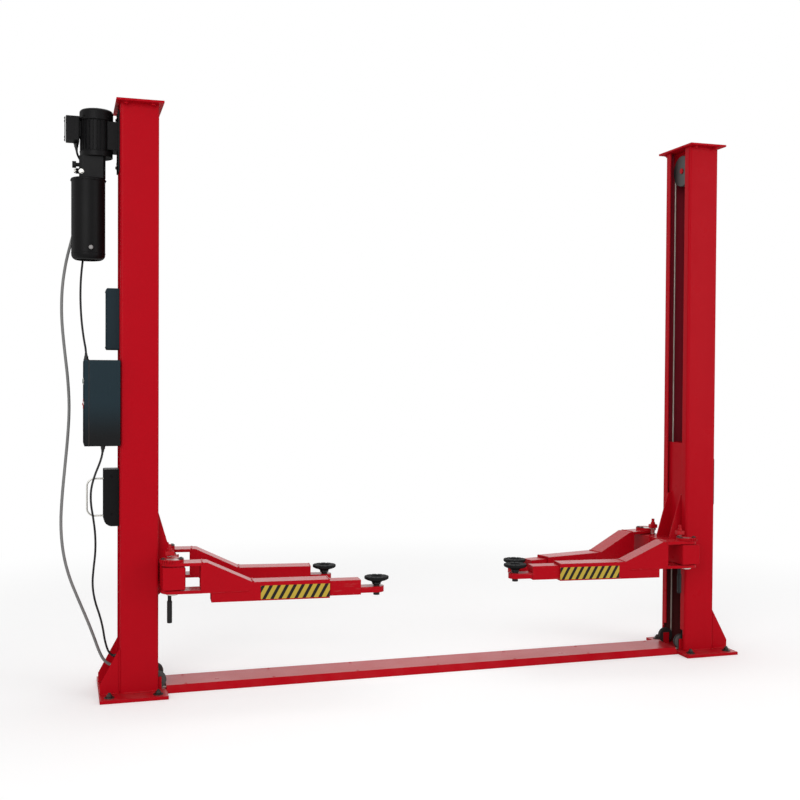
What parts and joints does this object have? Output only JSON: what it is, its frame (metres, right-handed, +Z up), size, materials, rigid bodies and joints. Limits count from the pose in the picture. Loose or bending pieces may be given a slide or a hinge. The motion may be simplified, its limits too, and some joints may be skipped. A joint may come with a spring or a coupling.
{
  "type": "two post car lift",
  "caption": "Floor-plate two post vehicle lift with hydraulic rams in open columns, equalising cables and four telescopic swing arms with screw pads.",
  "frame": {"origin": "on the floor midway between the two columns, at the underside of the floor channel", "axes": "+X to the right column, +Y to the rear of the bay, +Z up"},
  "size_m": [3.5991, 0.6288, 2.824],
  "materials": {
    "column_paint": "glossy red powder coat",
    "arm_paint": "glossy red powder coat, black and yellow stripes on the front arms",
    "extension_paint": "glossy red powder coat, rubbed where it slides",
    "zinc_steel": "zinc-plated steel",
    "pad_rubber": "moulded rubber",
    "guide_plastic": "natural polyethylene",
    "black_steel": "black oxide steel with plastic grips",
    "wire_rope": "galvanised wire rope",
    "cylinder_paint": "dark enamel",
    "chromed_rod": "hard chrome",
    "chain_steel": "oiled leaf chain",
    "unit_black": "satin black enamel",
    "pump_aluminium": "cast aluminium, darkened",
    "box_plastic": "blue-black moulded plastic",
    "hose_grey": "grey rubber hose",
    "cable_black": "black rubber sheath"
  },
  "bodies": {
    "root": {"control_box": "box_plastic", "control_cable": "cable_black", "floor_cables": "wire_rope", "floor_channel": "column_paint", "floor_cover": "column_paint", "hydraulic_hose": "hose_grey", "junction_box": "box_plastic", "left_base": "column_paint", "left_cap": "column_paint", "left_column": "column_paint", "left_column_cable": "wire_rope", "left_cylinder": "cylinder_paint", "left_lock_cover": "unit_black", "left_sheaves": "zinc_steel", "motor": "unit_black", "motor_cable": "cable_black", "power_bracket": "unit_black", "pump_block": "pump_aluminium", "release_handle": "zinc_steel", "right_base": "column_paint", "right_cap": "column_paint", "right_column": "column_paint", "right_column_cable": "wire_rope", "right_cylinder": "cylinder_paint", "right_lock_cover": "unit_black", "right_sheaves": "zinc_steel", "tank": "unit_black"},
    "left_carriage": {"left_carriage": "column_paint", "left_slide_blocks": "guide_plastic", "left_arm_pins": "zinc_steel", "left_restraint_rods": "black_steel", "left_lift_chain": "chain_steel"},
    "left_ram": {"left_ram": "chromed_rod", "left_base_chain": "chain_steel"},
    "right_carriage": {"right_carriage": "column_paint", "right_slide_blocks": "guide_plastic", "right_arm_pins": "zinc_steel", "right_restraint_rods": "black_steel", "right_lift_chain": "chain_steel"},
    "right_ram": {"right_ram": "chromed_rod", "right_base_chain": "chain_steel"},
    "left_front_arm": {"left_front_arm": "arm_paint"},
    "left_front_extension": {"left_front_extension": "extension_paint"},
    "left_front_pad": {"left_front_pad_screw": "zinc_steel", "left_front_pad": "pad_rubber"},
    "left_rear_arm": {"left_rear_arm": "arm_paint"},
    "left_rear_extension": {"left_rear_extension": "extension_paint"},
    "left_rear_pad": {"left_rear_pad_screw": "zinc_steel", "left_rear_pad": "pad_rubber"},
    "right_front_arm": {"right_front_arm": "arm_paint"},
    "right_front_extension": {"right_front_extension": "extension_paint"},
    "right_front_pad": {"right_front_pad_screw": "zinc_steel", "right_front_pad": "pad_rubber"},
    "right_rear_arm": {"right_rear_arm": "arm_paint"},
    "right_rear_extension": {"right_rear_extension": "extension_paint"},
    "right_rear_pad": {"right_rear_pad_screw": "zinc_steel", "right_rear_pad": "pad_rubber"}
  },
  "joints": [
    {"name": "left_lift", "type": "slide", "parent": "root", "child": "left_carriage", "axis": [0, 0, 1], "range_m": [-0.315, 1.42], "deforming": ["left_lift_chain"]},
    {"name": "left_ram_slide", "type": "slide", "parent": "root", "child": "left_ram", "axis": [0, 0, 1], "range_m": [-0.1575, 0.71], "deforming": ["left_base_chain"]},
    {"name": "right_lift", "type": "slide", "parent": "root", "child": "right_carriage", "axis": [0, 0, 1], "range_m": [-0.315, 1.42], "deforming": ["right_lift_chain"]},
    {"name": "right_ram_slide", "type": "slide", "parent": "root", "child": "right_ram", "axis": [0, 0, 1], "range_m": [-0.1575, 0.71], "deforming": ["right_base_chain"]},
    {"name": "left_front_swing", "type": "hinge", "parent": "left_carriage", "child": "left_front_arm", "pos_m": [-1.38, -0.22, 0.577], "axis": [0, 0, 1], "range_deg": [-91, 11]},
    {"name": "left_front_reach", "type": "slide", "parent": "left_front_arm", "child": "left_front_extension", "axis": [0.9976, -0.0698, 0], "range_m": [-0.165, 0.265]},
    {"name": "left_front_pad_screw", "type": "slide", "parent": "left_front_extension", "child": "left_front_pad", "axis": [0, 0, 1], "range_m": [-0.006, 0.03]},
    {"name": "left_rear_swing", "type": "hinge", "parent": "left_carriage", "child": "left_rear_arm", "pos_m": [-1.38, 0.22, 0.577], "axis": [0, 0, 1], "range_deg": [-7.2, 102.8]},
    {"name": "left_rear_reach", "type": "slide", "parent": "left_rear_arm", "child": "left_rear_extension", "axis": [0.9907, -0.1357, 0], "range_m": [0, 0.43]},
    {"name": "left_rear_pad_screw", "type": "slide", "parent": "left_rear_extension", "child": "left_rear_pad", "axis": [0, 0, 1], "range_m": [-0.006, 0.03]},
    {"name": "right_front_swing", "type": "hinge", "parent": "right_carriage", "child": "right_front_arm", "pos_m": [1.38, -0.22, 0.577], "axis": [0, 0, 1], "range_deg": [-2.2, 99.8]},
    {"name": "right_front_reach", "type": "slide", "parent": "right_front_arm", "child": "right_front_extension", "axis": [-0.9965, 0.0837, 0], "range_m": [-0.158, 0.272]},
    {"name": "right_front_pad_screw", "type": "slide", "parent": "right_front_extension", "child": "right_front_pad", "axis": [0, 0, 1], "range_m": [-0.006, 0.03]},
    {"name": "right_rear_swing", "type": "hinge", "parent": "right_carriage", "child": "right_rear_arm", "pos_m": [1.38, 0.22, 0.577], "axis": [0, 0, 1], "range_deg": [-107.7, 2.3]},
    {"name": "right_rear_reach", "type": "slide", "parent": "right_rear_arm", "child": "right_rear_extension", "axis": [-0.9755, -0.2198, 0], "range_m": [-0.116, 0.314]},
    {"name": "right_rear_pad_screw", "type": "slide", "parent": "right_rear_extension", "child": "right_rear_pad", "axis": [0, 0, 1], "range_m": [-0.006, 0.03]}
  ],
  "couplings": [
    {"joint": "right_lift", "follows": "left_lift", "ratio": 1},
    {"joint": "left_ram_slide", "follows": "left_lift", "ratio": 0.5},
    {"joint": "right_ram_slide", "follows": "left_lift", "ratio": 0.5}
  ]
}
